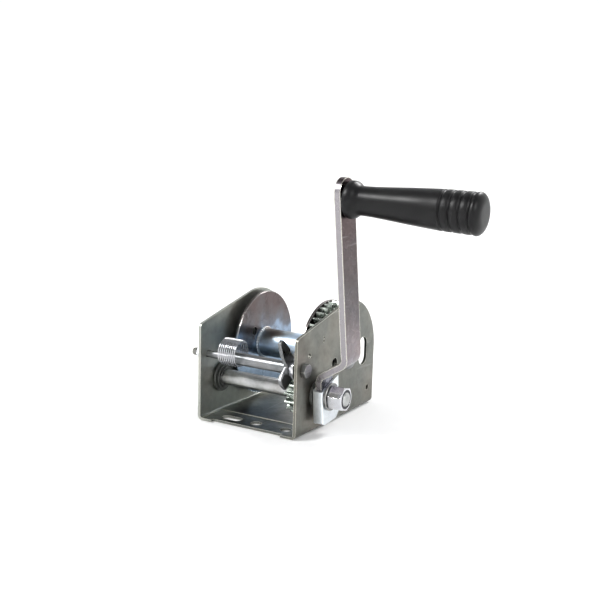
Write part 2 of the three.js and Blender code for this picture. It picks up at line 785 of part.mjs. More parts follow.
// The grip and what carries it, on an axis through the arm's eye.
function gripGroup() {
  const armHalf = crankBar.thickness / 2;
  const gripStart = armHalf + gripStandOff;
  const washerRight = gripStart + gripRecess.depth - gap;
  const washerLeft = washerRight - gripWasher.thickness;
  const boreRadius = spindleRadius + gap;
  const outside = turned([[0, 0], ...gripProfile()], 36).translate([gripStart, 0, 0]);
  const bore = bar(gripStart - 1, gripStart + gripBoreDepth, boreRadius);
  const recess = bar(gripStart - 1, gripStart + gripRecess.depth, gripRecess.radius);
  const headRight = -armHalf - gripStandOff;
  const spindleEnd = gripStart + gripBoreDepth - 2;
  const spindle = turned([
    [headRight - spindleHead.height, 0],
    [headRight - spindleHead.height, spindleHead.radius - 1.5],
    [headRight - 1, spindleHead.radius],
    [headRight, spindleHead.radius],
    [headRight, spindleRadius],
    [spindleEnd - 1, spindleRadius],
    [spindleEnd, spindleRadius - 1],
    [spindleEnd, 0],
  ]);
  const group = new THREE.Group();
  group.add(
    mesh("grip", outside.subtract(bore).subtract(recess), "grip"),
    mesh("grip_spindle", spindle, "zinc"),
    mesh("grip_washer", ring(washerLeft, washerRight, boreRadius, gripWasher.radius), "zinc"),
  );
  group.position.set(upperBarAtGrip, 0, crankRadius);
  group.rotation.y = gripDroop;
  return group;
}

// ---------------------------------------------------------------- tie bolt, pawl, spring

function tiePieces() {
  const bore = tieBoltRadius + gap;
  const nutRight = -cheekOuter - gap;
  const nutLeft = nutRight - tieNutHeight;
  const headLeft = cheekOuter + gap;
  const shank = turned([
    [nutLeft - tieStub, 0],
    [nutLeft - tieStub, tieBoltRadius - 1],
    [nutLeft - tieStub + 1, tieBoltRadius],
    [headLeft + 1, tieBoltRadius],
    [headLeft + 1, 0],
  ]);
  const head = hexagon(headLeft, headLeft + tieHeadHeight, tieHeadFlats, false, true);
  const nut = hexagon(nutLeft, nutRight, tieHeadFlats).subtract(
    bar(nutLeft - 1, nutRight + 1, bore),
  );
  const lockRight = cheekInner - gap;
  const lockLeft = lockRight - tieLockWasher.thickness;
  const washerRight = lockLeft - gap;
  const washerLeft = washerRight - tieWasher.thickness;
  const collarLeft = pawlRight + gap;
  const collarRight = Math.min(collarLeft + pawlCollar.thickness, washerLeft - gap);
  const bushLeft = pawlLeft + gap;
  const pawlBush = ring(bushLeft, collarLeft + 0.5, bore, pawlBushRadius).add(
    ring(collarLeft, collarRight, bore, pawlCollar.radius),
  );
  const sleeveLeft = -cheekInner + tieSleeveFromCheek;
  const sleeve = ring(sleeveLeft, pawlLeft - gap, bore, tieSleeveRadius);
  return [
    mesh("tie_bolt", shank.add(head), "zinc"),
    mesh("tie_nut", nut, "brightZinc"),
    mesh("tie_sleeve", sleeve, "brightZinc"),
    mesh("pawl_bush", pawlBush, "brightZinc"),
    mesh("tie_washer", ring(washerLeft, washerRight, bore, tieWasher.radius), "brightZinc"),
    mesh("tie_lock_washer", ring(lockLeft, lockRight, bore, tieLockWasher.radius), "darkBush"),
  ];
}

// A two-way pawl: a thumb lever that points away from the pinion, and a claw on each side of it.
function pawl() {
  const away = Math.atan2(tieZ - shaftZ, tieY - shaftY) + pawlLean;
  const point = (radius, degrees) => {
    const angle = away + THREE.MathUtils.degToRad(degrees);
    return new THREE.Vector2(radius * Math.cos(angle), radius * Math.sin(angle));
  };
  // one side of the outline, from the lever's tip round to the hub's underside
  const half = [
    [pawlLeverLength, 3],
    [pawlLeverLength - 1, 5.2],
    [pawlLeverLength * 0.65, 15.5],
    [9.9, 37],
    [pawlReach, 73],
    [pawlReach + 0.6, 76],
    [pawlReach + 0.6, 88],
    [pawlReach, 112],
    [13.2, 124],
    [9.2, 142],
    [pawlHubRadius, 165],
  ];
  const points = half.map(([radius, degrees]) => point(radius, degrees));
  const mirrored = half.map(([radius, degrees]) => point(radius, -degrees)).reverse();
  const outline = new THREE.Shape([...points, ...mirrored]);
  const plate = pushedX(outline, pawlLeft, pawlRight).subtract(
    bar(pawlLeft - 1, pawlRight + 1, pawlBushRadius + gap),
  );
  return mesh("pawl", plate, "zinc");
}

// The closed space that the pawl's coil spring fills. It hangs on the sleeve, raised by its own legs.
function pawlSpring() {
  const inner = springRadius - springWire;
  const left = -cheekInner + springFromCheek;
  const made = mesh(
    "pawl_spring",
    ring(left, left + springLength, inner, springRadius, 0.3, 36),
    "brightZinc",
  );
  made.position.z = inner - tieSleeveRadius - gap;
  return made;
}

// ---------------------------------------------------------------- assembly

function placed(y, z, pieces) {
  const group = new THREE.Group();
  group.position.set(0, y, z);
  group.add(...pieces);
  return group;
}

const crank = new THREE.Group();
crank.add(driveShaft(), crankHub(), crankArm(), ...crankFasteners(), gripGroup());
crank.rotation.x = crankLean;

const winch = new THREE.Group();
winch.add(frameChannel());
winch.add(placed(drumY, drumZ, [...drumPieces(), ...axlePieces()]));
winch.add(placed(shaftY, shaftZ, [...shaftBushes(), ...shaftFittings(), crank]));
winch.add(placed(tieY, tieZ, [...tiePieces(), pawl(), pawlSpring()]));

export default winch;
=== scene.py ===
"""A geared hand winch for a boat trailer: looks for every piece, on the moving frame of the CAD part.

Metres. +X points to the crank side, +Y to the back, +Z up. Helpers take millimetres and say so.
"""

import json
import math

import bmesh
import bpy
from mathutils import Matrix, Vector


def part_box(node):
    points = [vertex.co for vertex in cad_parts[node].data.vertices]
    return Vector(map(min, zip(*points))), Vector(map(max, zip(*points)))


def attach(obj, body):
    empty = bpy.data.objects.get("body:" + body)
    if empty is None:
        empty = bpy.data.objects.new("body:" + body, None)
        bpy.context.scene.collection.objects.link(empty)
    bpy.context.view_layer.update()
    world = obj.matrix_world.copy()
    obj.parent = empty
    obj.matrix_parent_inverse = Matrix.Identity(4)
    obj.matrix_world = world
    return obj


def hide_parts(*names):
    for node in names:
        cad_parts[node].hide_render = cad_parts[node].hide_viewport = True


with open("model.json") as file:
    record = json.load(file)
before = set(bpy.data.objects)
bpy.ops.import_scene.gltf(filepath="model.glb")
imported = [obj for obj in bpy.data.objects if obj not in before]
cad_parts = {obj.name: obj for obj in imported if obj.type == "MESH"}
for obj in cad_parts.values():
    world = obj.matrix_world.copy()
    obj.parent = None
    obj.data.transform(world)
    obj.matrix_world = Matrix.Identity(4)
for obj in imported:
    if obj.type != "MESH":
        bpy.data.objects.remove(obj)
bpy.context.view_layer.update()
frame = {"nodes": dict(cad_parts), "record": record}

MM = 0.001

# ---------------------------------------------------------------- sizes, in millimetres

DRUM = Vector((0.0, 20.0, 54.6))
AXES_APART = 61.875  # drum to shaft
SHAFT_BELOW_DRUM = 21.6
SHAFT = Vector((0.0, DRUM.y - math.sqrt(AXES_APART**2 - SHAFT_BELOW_DRUM**2), 33.0))
TIE = Vector((0.0, -59.0, 58.0))
CRANK_LEAN = math.radians(5.5)
GRIP_DROOP = math.radians(1.6)
GRIP_EYE = Vector((80.148, 0.0, 170.5))  # on the crank, from the shaft's axis
GRIP_START = 3.95  # from the middle of the crank bar
GRIP_LENGTH = 113.8
SPRING_WIRE = 1.0
SPRING_TURNS = 8.5
THREAD_DEPTH = 0.61  # of the pitch
THREAD_TIP = 0.86  # of the radius, at the very end of a bolt
THREAD_SEGMENTS = 48
THREAD_STEPS_PER_TURN = 8
WELD_FILL = 0.9  # of the bead's full width
WELD_SWELL = 0.05  # slow change in width round the tube
FLOOR_DROP = 0.0004  # metres, so that the base does not share a face with the floor

# ---------------------------------------------------------------- node materials


class Finish:
    """A material under construction: makes nodes, and links them where a socket is given as input."""

    def __init__(self, name):
        self.material = bpy.data.materials.new(name)
        self.material.use_nodes = True
        self.tree = self.material.node_tree
        self.tree.nodes.clear()
        self.out = self.node("ShaderNodeOutputMaterial")
        self.shader = self.node("ShaderNodeBsdfPrincipled")
        self.tree.links.new(self.shader.outputs["BSDF"], self.out.inputs["Surface"])
        self.place = self.node("ShaderNodeTexCoord").outputs["Object"]

    def node(self, kind, **settings):
        made = self.tree.nodes.new(kind)
        for key, value in settings.items():
            setattr(made, key, value)
        return made

    def put(self, socket, value):
        if isinstance(value, bpy.types.NodeSocket):
            self.tree.links.new(value, socket)
        else:
            socket.default_value = value

    def stretched(self, scale):
        """The piece's own coordinates in metres, multiplied along each axis."""
        mapping = self.node("ShaderNodeMapping")
        self.put(mapping.inputs["Vector"], self.place)
        mapping.inputs["Scale"].default_value = scale
        return mapping.outputs["Vector"]

    def noise(self, scale, detail=4.0, roughness=0.55, stretch=(1.0, 1.0, 1.0)):
        made = self.node("ShaderNodeTexNoise")
        self.put(made.inputs["Vector"], self.stretched(stretch))
        made.inputs["Scale"].default_value = scale
        made.inputs["Detail"].default_value = detail
        made.inputs["Roughness"].default_value = roughness
        return made.outputs["Fac"]

    def ramp(self, value, stops):
        """Colours at places between 0 and 1."""
        made = self.node("ShaderNodeValToRGB")
        self.put(made.inputs["Fac"], value)
        elements = made.color_ramp.elements
        while len(elements) > 1:
            elements.remove(elements[-1])
        elements[0].position, elements[0].color = stops[0][0], (*stops[0][1], 1.0)
        for at, colour in stops[1:]:
            elements.new(at).color = (*colour, 1.0)
        return made.outputs["Color"]

    def along(self, axis, start, end, stops):
        """Colours from one place to another along an axis, in mm, with a soft uneven border."""
        split = self.node("ShaderNodeSeparateXYZ")
        self.put(split.inputs["Vector"], self.place)
        share = self.ranged(split.outputs[axis], start * MM, end * MM, 0.0, 1.0)
        wander = self.ranged(self.noise(30.0, 3.0, 0.5), 0.3, 0.7, -0.07, 0.07)
        return self.ramp(self.sum(share, wander), stops)

    def ranged(self, value, low_in, high_in, low_out, high_out):
        made = self.node("ShaderNodeMapRange")
        self.put(made.inputs["Value"], value)
        for name, number in (
            ("From Min", low_in),
            ("From Max", high_in),
            ("To Min", low_out),
            ("To Max", high_out),
        ):
            made.inputs[name].default_value = number
        return made.outputs["Result"]

    def mixed(self, share, first, second, blend="MIX"):
        made = self.node("ShaderNodeMix", data_type="RGBA", blend_type=blend)
        self.put(made.inputs[0], share)
        self.put(made.inputs[6], first if not isinstance(first, tuple) else (*first, 1.0))
        self.put(made.inputs[7], second if not isinstance(second, tuple) else (*second, 1.0))
        return made.outputs[2]

    def sum(self, first, second, operation="ADD"):
        made = self.node("ShaderNodeMath", operation=operation)
        self.put(made.inputs[0], first)
        self.put(made.inputs[1], second)
        return made.outputs[0]

    def bumped(self, *layers):
        """Bump from (height, strength, distance in mm) layers, one after another."""
        normal = None
        for height, strength, distance in layers:
            bump = self.node("ShaderNodeBump")
            self.put(bump.inputs["Height"], height)
            bump.inputs["Strength"].default_value = strength
            bump.inputs["Distance"].default_value = distance * MM
            if normal is not None:
                self.put(bump.inputs["Normal"], normal)
            normal = bump.outputs["Normal"]
        self.put(self.shader.inputs["Normal"], normal)

    def facing_along_y(self):
        """1 on faces that look along the piece's own Y, 0 on the others: the mask for painted light on
        narrow sides.
        """
        split = self.node("ShaderNodeSeparateXYZ")
        normal = self.node("ShaderNodeTexCoord").outputs["Normal"]
        self.put(split.inputs["Vector"], normal)
        size = self.node("ShaderNodeMath", operation="ABSOLUTE")
        self.put(size.inputs[0], split.outputs["Y"])
        return self.ranged(size.outputs[0], 0.55, 0.85, 0.0, 1.0)

    def painted_edge_highlight(self, radius):
        """1 where an edge is within the radius in mm, 0 on open faces: the mask for a painted highlight
        along edges.
        """
        bevel = self.node("ShaderNodeBevel", samples=6)
        bevel.inputs["Radius"].default_value = radius * MM
        geometry = self.node("ShaderNodeNewGeometry")
        turn = self.node("ShaderNodeVectorMath", operation="DOT_PRODUCT")
        self.put(turn.inputs[0], bevel.outputs["Normal"])
        self.put(turn.inputs[1], geometry.outputs["Normal"])
        return self.ranged(turn.outputs["Value"], 0.995, 0.86, 0.0, 1.0)


def zinc(
    name,
    stops,
    cloud=26.0,
    rough=(0.24, 0.42),
    grain=(1.0, 1.0, 1.0),
    grime=0.3,
    edge=None,
    drift=None,
    painted_lit_sides=None,
):
    """Zinc plate: a slow tint, rolled grain, scratches, dull grime and a painted highlight along the
    edges.

    Drift is (axis, from mm, to mm, stops): the colour is also multiplied by a ramp along that axis.
    The colour given for the bar's narrow sides, which face along Y, is painted light: it draws them
    lighter, as if they caught more light.
    """
    f = Finish(name)
    tint = f.ramp(f.noise(cloud, 3.0, 0.6), stops)
    if drift:
        tint = f.mixed(1.0, tint, f.along(*drift), "MULTIPLY")
    blotch = f.ranged(f.noise(150.0, 6.0, 0.7), 0.42, 0.78, 0.0, grime)
    plated = f.mixed(blotch, tint, (0.34, 0.33, 0.30), "MULTIPLY")
    scratch = f.ranged(f.noise(210.0, 2.0, 0.5, (1.0, 0.07, 1.0)), 0.67, 0.74, 0.0, 0.18)
    nicks = f.ranged(f.noise(260.0, 2.0, 0.5, (1.0, 1.0, 0.06)), 0.69, 0.75, 0.0, 0.18)
    worn = f.sum(scratch, nicks)
    plated = f.mixed(worn, plated, (0.62, 0.63, 0.62))
    # painted light: a lighter colour on the faces that look along Y
    if painted_lit_sides:
        plated = f.mixed(f.facing_along_y(), plated, painted_lit_sides)
    # painted highlight: a bright, slightly yellow colour mixed in along every edge
    if edge:
        plated = f.mixed(f.painted_edge_highlight(edge), plated, (0.82, 0.80, 0.70))
    f.put(f.shader.inputs["Base Color"], plated)
    f.shader.inputs["Metallic"].default_value = 1.0
    patches = f.ranged(f.noise(75.0, 5.0, 0.65), 0.3, 0.7, *rough)
    f.put(f.shader.inputs["Roughness"], f.sum(patches, f.ranged(blotch, 0.0, 1.0, 0.0, 0.2)))
    fine = f.noise(900.0, 3.0, 0.6, grain)
    f.bumped((f.noise(60.0, 4.0, 0.5), 0.14, 0.3), (fine, 0.12, 0.05), (worn, 0.2, -0.02))
    return f.material


def passivated_with_painted_light(name, centre, stops, rough=(0.16, 0.32)):
    """Blue-passivated zinc on a turned disc, its colour ramped by height: the film's blue and brown, with
    a painted bright band of reflection and painted shade towards the top.
    """
    f = Finish(name)
    split = f.node("ShaderNodeSeparateXYZ")
    f.put(split.inputs["Vector"], f.place)
    # painted light: the colour ramp follows height, painting a bright reflected band across the piece and
    # shade over its top
    height = f.ranged(split.outputs["Z"], (centre.z - 48) * MM, (centre.z + 48) * MM, 0.0, 1.0)
    drift = f.ranged(f.noise(24.0, 3.0, 0.55), 0.25, 0.75, -0.28, 0.28)
    film = f.ramp(f.sum(height, drift), stops)
    stain = f.ranged(f.noise(120.0, 5.0, 0.7), 0.5, 0.8, 0.0, 0.45)
    film = f.mixed(stain, film, (0.40, 0.34, 0.30), "MULTIPLY")
    # painted highlight: a pale colour mixed in along the disc's edges
    film = f.mixed(f.painted_edge_highlight(0.6), film, (0.85, 0.85, 0.82))
    f.put(f.shader.inputs["Base Color"], film)
    f.shader.inputs["Metallic"].default_value = 1.0
    f.put(f.shader.inputs["Roughness"], f.ranged(f.noise(60.0, 5.0, 0.6), 0.3, 0.7, *rough))
    f.bumped((f.noise(45.0, 4.0, 0.5), 0.12, 0.3), (f.noise(800.0, 3.0, 0.6), 0.10, 0.04))
    return f.material


def greased_steel(name):
    """Machined steel under a thin, uneven film of dark grease."""
    f = Finish(name)
    film = f.noise(210.0, 5.0, 0.6)
    steel = f.ramp(
        film,
        [(0.30, (0.07, 0.08, 0.07)), (0.50, (0.20, 0.23, 0.205)), (0.70, (0.60, 0.66, 0.59))],
    )
    # painted highlight: a pale colour mixed in along the edges of the teeth
    bright = f.painted_edge_highlight(0.5)
    f.put(f.shader.inputs["Base Color"], f.mixed(bright, steel, (0.78, 0.80, 0.76)))
    f.shader.inputs["Metallic"].default_value = 0.85
    f.put(f.shader.inputs["Roughness"], f.ranged(film, 0.3, 0.7, 0.16, 0.38))
    f.shader.inputs["Coat Weight"].default_value = 0.4
    f.shader.inputs["Coat Roughness"].default_value = 0.12
    f.bumped((f.noise(330.0, 4.0, 0.6), 0.25, 0.2))
    return f.material


def oiled_bush(name):
    """Dark sintered metal, slightly porous, wet with oil."""
    f = Finish(name)
    pores = f.noise(1200.0, 4.0, 0.7)
    f.put(
        f.shader.inputs["Base Color"],
        f.ramp(pores, [(0.3, (0.035, 0.037, 0.035)), (0.7, (0.15, 0.155, 0.145))]),
    )
    f.shader.inputs["Metallic"].default_value = 0.55
    f.put(f.shader.inputs["Roughness"], f.ranged(f.noise(160.0), 0.3, 0.7, 0.28, 0.5))
    f.bumped((pores, 0.3, 0.08))
    return f.material


def moulded_plastic(name, low, high, rough=(0.30, 0.46)):
    """Dark moulded plastic with a fine texture and slightly polished patches."""
    f = Finish(name)
    f.put(f.shader.inputs["Base Color"], f.ramp(f.noise(45.0, 4.0), [(0.3, low), (0.7, high)]))
    f.put(f.shader.inputs["Roughness"], f.ranged(f.noise(38.0, 5.0, 0.6), 0.3, 0.7, *rough))
    f.shader.inputs["Specular IOR Level"].default_value = 0.24
    f.bumped((f.noise(1500.0, 2.0, 0.5), 0.16, 0.06), (f.noise(90.0, 3.0), 0.08, 0.15))
    return f.material


def pale_floor(name):
    f = Finish(name)
    f.put(
        f.shader.inputs["Base Color"],
        f.ramp(f.noise(3.0, 2.0), [(0.3, (0.90, 0.90, 0.90)), (0.7, (0.93, 0.93, 0.93))]),
    )
    f.shader.inputs["Roughness"].default_value = 0.7
    return f.material


FRAME_ZINC = zinc(
    "frame_zinc",
    [(0.30, (0.140, 0.148, 0.138)), (0.50, (0.180, 0.184, 0.172)), (0.70, (0.205, 0.192, 0.174))],
    cloud=14.0,
    rough=(0.30, 0.46),
    edge=0.6,
    # painted light: along X the plain left cheek is drawn over twice as bright, standing in for light
    # bounced inside the channel
    drift=(
        "X",
        -50,
        50,
        [
            (0.08, (2.10, 2.15, 2.10)),
            (0.22, (0.90, 0.92, 0.92)),
            (0.90, (0.90, 0.92, 0.92)),
            (1.0, (1.02, 1.0, 0.94)),
        ],
    ),
)
FLANGE_ZINC = passivated_with_painted_light(
    "flange_zinc",
    DRUM,
    [
        # stops run from bottom to top: the film's blue and brown, a painted bright reflection band at 0.58
        # and painted shade darkening the top
        (0.10, (0.15, 0.21, 0.28)),
        (0.34, (0.21, 0.29, 0.38)),
        (0.50, (0.19, 0.24, 0.31)),
        (0.58, (0.25, 0.33, 0.44)),
        (0.66, (0.135, 0.145, 0.170)),
        (0.80, (0.112, 0.100, 0.102)),
        (0.92, (0.100, 0.078, 0.078)),
    ],
)
TUBE_ZINC = passivated_with_painted_light(
    "tube_zinc",
    DRUM,
    [
        # stops run from bottom to top: the film's blue, a painted bright reflection band at 0.46 and
        # painted shade, dark and brownish, over the top
        (0.30, (0.50, 0.60, 0.72)),
        (0.46, (0.62, 0.76, 0.92)),
        (0.56, (0.50, 0.58, 0.64)),
        (0.66, (0.36, 0.33, 0.31)),
    ],
    rough=(0.28, 0.44),
)
CRANK_ZINC = zinc(
    "crank_zinc",
    [
        (0.30, (0.150, 0.125, 0.120)),
        (0.48, (0.160, 0.145, 0.150)),
        (0.62, (0.135, 0.140, 0.165)),
        (0.75, (0.165, 0.150, 0.155)),
    ],
    cloud=16.0,
    rough=(0.20, 0.34),
    edge=1.3,
    drift=(
        "Z",
        40,
        215,
        [
            (0.0, (2.4, 2.4, 2.4)),
            (0.2, (1.35, 1.32, 1.36)),
            (0.5, (0.52, 0.50, 0.50)),
            (0.9, (0.50, 0.35, 0.37)),
        ],
    ),
    # painted light: the narrow sides of the crank bar are drawn lighter, as if lit
    painted_lit_sides=(0.30, 0.285, 0.30),
)
HUB_ZINC = zinc(
    "hub_zinc",
    [(0.32, (0.70, 0.76, 0.80)), (0.55, (0.82, 0.87, 0.90)), (0.72, (0.76, 0.80, 0.84))],
    cloud=24.0,
    rough=(0.26, 0.40),
    edge=0.4,
)
BRIGHT_ZINC = zinc(
    "bright_zinc",
    [(0.32, (0.58, 0.59, 0.62)), (0.52, (0.70, 0.71, 0.75)), (0.70, (0.64, 0.63, 0.62))],
    cloud=40.0,
    rough=(0.08, 0.20),
    edge=0.3,
)
SHAFT_STEEL = zinc(
    "shaft_steel",
    [(0.32, (0.40, 0.41, 0.41)), (0.52, (0.50, 0.51, 0.51)), (0.70, (0.44, 0.43, 0.42))],
    cloud=30.0,
    rough=(0.26, 0.42),
    grain=(1.0, 0.1, 0.1),
    grime=0.6,
    edge=0.3,
)
PLAIN_ZINC = zinc(
    "plain_zinc",
    [(0.32, (0.180, 0.190, 0.195)), (0.52, (0.250, 0.255, 0.265)), (0.70, (0.210, 0.205, 0.200))],
    cloud=45.0,
    rough=(0.24, 0.40),
    edge=0.5,
)
GREASED = greased_steel("greased_steel")
BUSH = oiled_bush("dark_bush")
GRIP_PLASTIC = moulded_plastic("grip_plastic", (0.003, 0.003, 0.0033), (0.006, 0.006, 0.0064))
NYLON = moulded_plastic("nylon", (0.02, 0.021, 0.026), (0.045, 0.045, 0.055))

# ---------------------------------------------------------------- making pieces


BODIES = frame["record"]["behaviour"]["bodies"]


def body_of_node(node):
    return next(name for name, nodes in BODIES.items() if node in nodes)


def smooth(mesh, angle=32.0):
    for face in mesh.polygons:
        face.use_smooth = True
    mesh.set_sharp_from_angle(angle=math.radians(angle))


def cut_off_below(bm, x):
    """Takes off what lies on the plain-cheek side of x, in mm, and closes the cut."""
    everything = bm.verts[:] + bm.edges[:] + bm.faces[:]
    made = bmesh.ops.bisect_plane(
        bm, geom=everything, plane_co=(x * MM, 0, 0), plane_no=(-1, 0, 0), clear_outer=True
    )
    rim = [part for part in made["geom_cut"] if isinstance(part, bmesh.types.BMEdge)]
    bmesh.ops.contextual_create(bm, geom=rim)
    bmesh.ops.recalc_face_normals(bm, faces=bm.faces)


def softened(node, edge, material, steps=2, corner=28.0, cut=None):
    """A copy of a CAD piece with its facets joined, its edges rounded by so many mm, and smooth faces."""
    mesh = frame["nodes"][node].data.copy()
    mesh.name = node + "_look"
    bm = bmesh.new()
    bm.from_mesh(mesh)
    bmesh.ops.remove_doubles(bm, verts=bm.verts, dist=0.004 * MM)
    bmesh.ops.dissolve_limit(
        bm, angle_limit=math.radians(0.6), verts=bm.verts[:], edges=bm.edges[:]
    )
    if cut is not None:
        cut_off_below(bm, cut)
    bm.to_mesh(mesh)
    bm.free()
    mesh.materials.clear()
    mesh.materials.append(material)
    smooth(mesh)
    piece = bpy.data.objects.new(node + "_look", mesh)
    bpy.context.scene.collection.objects.link(piece)
    if edge:
        bevel = piece.modifiers.new("edge", "BEVEL")
        bevel.width = edge * MM
        bevel.segments = steps
        bevel.limit_method = "ANGLE"
        bevel.angle_limit = math.radians(corner)
        bevel.use_clamp_overlap = True
        bevel.harden_normals = True
    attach(piece, body_of_node(node))
    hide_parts(node)
    return piece


def turned(name, profile, place, material, segments=96):
    """A turned piece. The profile is (x, radius) in mm along +X, from axis to axis or closed on itself."""
    bm = bmesh.new()
    rings = []
    for x, radius in profile:
        if radius < 1e-6:
            rings.append([bm.verts.new((x, 0.0, 0.0))])
            continue
        ring = []
        for i in range(segments):
            turn = 2 * math.pi * i / segments
            ring.append(bm.verts.new((x, radius * math.cos(turn), radius * math.sin(turn))))
        rings.append(ring)
    for one, two in zip(rings, rings[1:]):
        for i in range(segments):
            j = (i + 1) % segments
            corners = [one[i % len(one)], two[i % len(two)], two[j % len(two)], one[j % len(one)]]
            unique = list(dict.fromkeys(corners))
            if len(unique) > 2:
                bm.faces.new(unique)
    bmesh.ops.remove_doubles(bm, verts=bm.verts, dist=1e-5)
    bmesh.ops.recalc_face_normals(bm, faces=bm.faces)
    bmesh.ops.transform(bm, matrix=Matrix.Scale(MM, 4) @ place, verts=bm.verts)
    mesh = bpy.data.meshes.new(name)
    bm.to_mesh(mesh)
    bm.free()
    mesh.materials.append(material)
    smooth(mesh)
    piece = bpy.data.objects.new(name, mesh)
    bpy.context.scene.collection.objects.link(piece)
    return piece


at_shaft = Matrix.Translation(SHAFT)
at_crank = at_shaft @ Matrix.Rotation(CRANK_LEAN, 4, "X")
at_grip = at_crank @ Matrix.Translation(GRIP_EYE) @ Matrix.Rotation(GRIP_DROOP, 4, "Y")

# ---------------------------------------------------------------- pieces with rounded edges

ROUNDED = {
    "frame_channel": (0.35, FRAME_ZINC),
    "drum_tube": (0.0, TUBE_ZINC),
    "drum_flange_left": (0.0, FLANGE_ZINC),
    "drum_flange_right": (0.0, FLANGE_ZINC),
    "drum_gear": (0.15, GREASED),
    "drum_bush_left": (0.0, BUSH),
    "drum_bush_right": (0.0, BUSH),
    "axle_washer": (0.0, PLAIN_ZINC),
    "axle_spacer_left": (0.0, PLAIN_ZINC),
    "axle_spacer_right": (0.0, PLAIN_ZINC),
    "axle_nut": (0.2, BRIGHT_ZINC),
    "shaft_bush_left": (0.2, BUSH),
    "shaft_bush_right": (0.2, BUSH),
    "pinion": (0.25, GREASED),
    "thrust_washer": (0.0, BUSH),
    "retaining_ring": (0.15, BUSH),
    "drive_shaft": (0.15, SHAFT_STEEL),
    "crank_hub": (0.2, HUB_ZINC),
    "crank_arm": (1.1, CRANK_ZINC),
    "crank_washer": (0.0, PLAIN_ZINC),
    "crank_nut": (0.15, BRIGHT_ZINC),
    "crank_nut_insert": (0.0, NYLON),
    "grip_spindle": (0.0, PLAIN_ZINC),
    "grip_washer": (0.0, PLAIN_ZINC),
    "tie_nut": (0.1, BRIGHT_ZINC),
    "tie_sleeve": (0.0, PLAIN_ZINC),
    "pawl_bush": (0.2, BRIGHT_ZINC),
    "tie_washer": (0.0, BRIGHT_ZINC),
    "tie_lock_washer": (0.0, BUSH),
    "pawl": (0.45, PLAIN_ZINC),
}

for node, (edge, material) in ROUNDED.items():
    softened(node, edge, material, steps=3 if edge > 1 else 2)

# ---------------------------------------------------------------- threaded bolt ends


def set_down(bm, name, centre, material, angle):
    """A piece from a mesh made in mm round the X axis, moved to the centre's Y and Z."""
    place = Matrix.Translation((0.0, centre.y, centre.z))
    bmesh.ops.transform(bm, matrix=Matrix.Scale(MM, 4) @ place, verts=bm.verts)
    mesh = bpy.data.meshes.new(name)
    bm.to_mesh(mesh)
    bm.free()
    mesh.materials.append(material)
    smooth(mesh, angle)
    piece = bpy.data.objects.new(name, mesh)
    bpy.context.scene.collection.objects.link(piece)
    return piece


def threaded(name, end, root_x, radius, pitch, centre, material):
    """A threaded bolt end along X, its crests at the radius and its tip chamfered. Sizes in mm."""
    segments, per_turn = THREAD_SEGMENTS, THREAD_STEPS_PER_TURN
    depth = THREAD_DEPTH * pitch
    steps = int(round((root_x - end) / pitch * per_turn))
    bm = bmesh.new()
    rings = []
    for step in range(steps + 1):
        along = step / per_turn
        taper = min(1.0, (step + 2) / per_turn)
        ring = []
        for i in range(segments):
            turn = 2 * math.pi * i / segments
            saw = abs(((along - i / segments) % 1.0) * 2.0 - 1.0)
            r = radius * (THREAD_TIP + (1.0 - THREAD_TIP) * taper) - depth * saw
            x = end + (root_x - end) * step / steps
            ring.append(bm.verts.new((x, r * math.cos(turn), r * math.sin(turn))))
        rings.append(ring)
    for one, two in zip(rings, rings[1:]):
        for i in range(segments):
            j = (i + 1) % segments
            bm.faces.new((one[i], one[j], two[j], two[i]))
    bm.faces.new(rings[0])
    bm.faces.new(rings[-1])
    bmesh.ops.recalc_face_normals(bm, faces=bm.faces)
    return set_down(bm, name, centre, material, 50.0)


for bolt, nut, radius, pitch, centre, edge in (
    ("tie_bolt", "tie_nut", 3.5, 1.0, TIE, 0.1),
    ("axle_bolt", "axle_nut", 6.0, 1.75, DRUM, 0.0),
):
    thread_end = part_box(bolt)[0].x / MM
    nut_low, nut_high = (corner.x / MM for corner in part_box(nut))
    joint_at = (nut_low + nut_high) / 2
    softened(bolt, edge, PLAIN_ZINC, cut=joint_at)
    thread = threaded(bolt + "_thread", thread_end, joint_at, radius, pitch, centre, PLAIN_ZINC)
    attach(thread, "frame")

# ---------------------------------------------------------------- welds between tube and flanges


def weld_bead(name, x, side, centre, radius, width, material):
    """A rippled fillet of weld round the tube where it meets a flange. Side is +1 or -1 along X."""
    segments, across, ripples, ripple = 144, 8, 34, 0.14
    bm = bmesh.new()
    rows = []
    for i in range(segments):
        turn = 2 * math.pi * i / segments
        swell = 1.0 + ripple * math.sin(ripples * turn) + WELD_SWELL * math.sin(3.0 * turn)
        row = []
        for step in range(across + 1):
            arc = math.pi / 2 * step / across
            out = width * swell * math.sin(arc) * WELD_FILL
            up = width * swell * math.cos(arc) * WELD_FILL
            row.append((x + side * out, radius + up))
        row.append((x, radius))
        ring = [
            bm.verts.new((along, r * math.cos(turn), r * math.sin(turn))) for along, r in row
        ]
        rows.append(ring)
    for i in range(segments):
        one, two = rows[i], rows[(i + 1) % segments]
        for k in range(len(one)):
            n = (k + 1) % len(one)
            bm.faces.new((one[k], one[n], two[n], two[k]))
    bmesh.ops.recalc_face_normals(bm, faces=bm.faces)
    piece = set_down(bm, name, centre, material, 60.0)
    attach(piece, "drum")


tube_low, tube_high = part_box("drum_tube")
tube_radius = (tube_high.y - tube_low.y) / 2 / MM
weld_bead("weld_left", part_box("drum_flange_left")[1].x / MM, 1, DRUM, tube_radius, 2.0, TUBE_ZINC)
weld_bead("weld_right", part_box("drum_flange_right")[0].x / MM, -1, DRUM, tube_radius, 2.0, TUBE_ZINC)

# ---------------------------------------------------------------- grip


